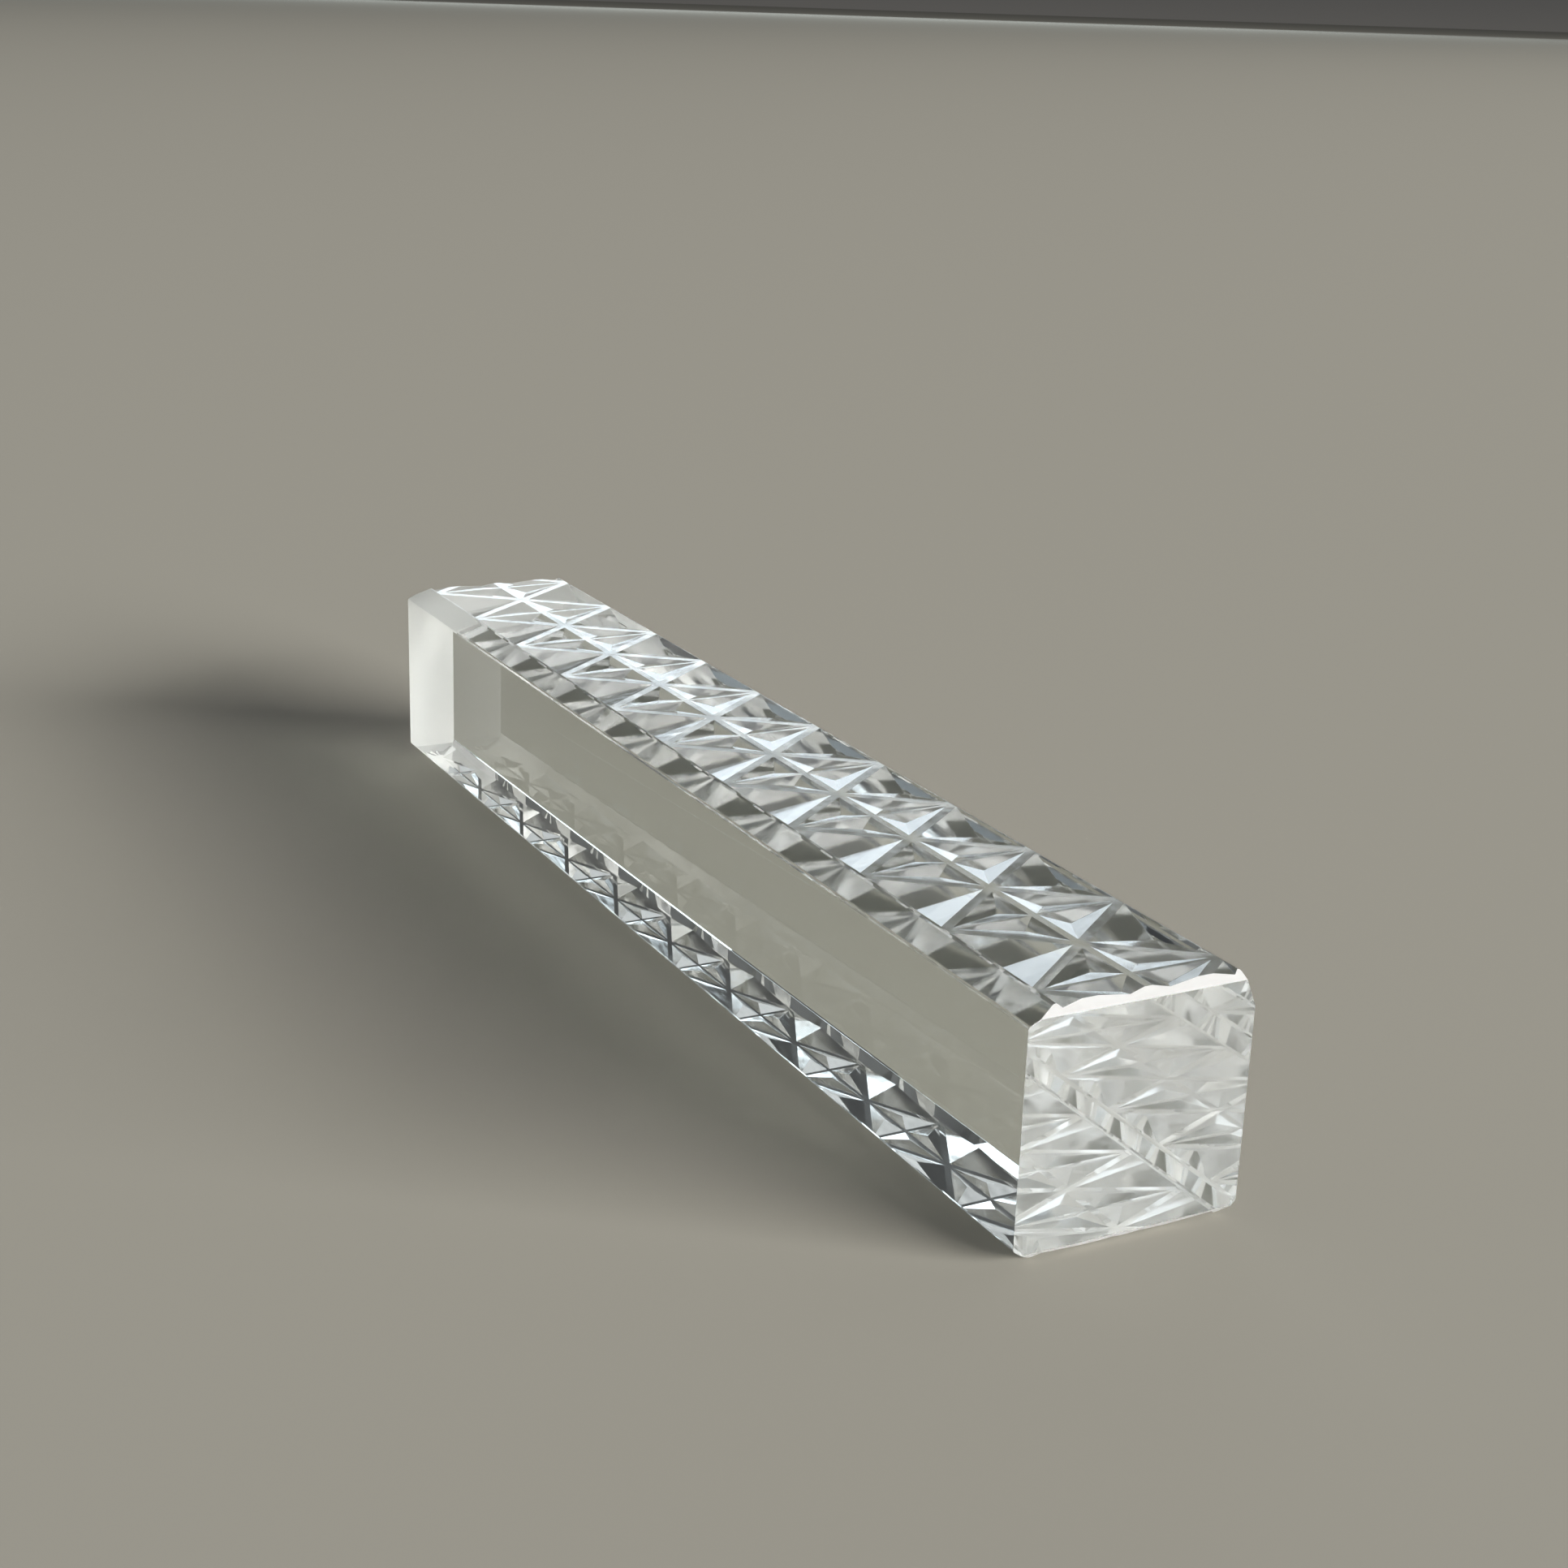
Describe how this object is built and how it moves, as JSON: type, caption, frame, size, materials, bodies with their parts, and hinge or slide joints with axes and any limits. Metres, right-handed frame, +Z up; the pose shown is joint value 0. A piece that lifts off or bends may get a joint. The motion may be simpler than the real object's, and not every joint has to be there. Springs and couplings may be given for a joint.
{
  "type": "knife rest",
  "caption": "Solid clear glass bar of square section with chamfered long edges and star cuts along its top and bottom faces; holds a knife's blade off the table.",
  "frame": {"origin": "under the middle of the bar, in the plane that it rests on", "axes": "+X along the bar towards the end that is near in the picture, +Z up, the side seen in the picture towards -Y"},
  "size_m": [0.086, 0.013, 0.013],
  "materials": {
    "clear_glass": "polished faces, ground ends"
  },
  "bodies": {
    "root": {"glass_bar": "clear_glass"}
  },
  "joints": []
}
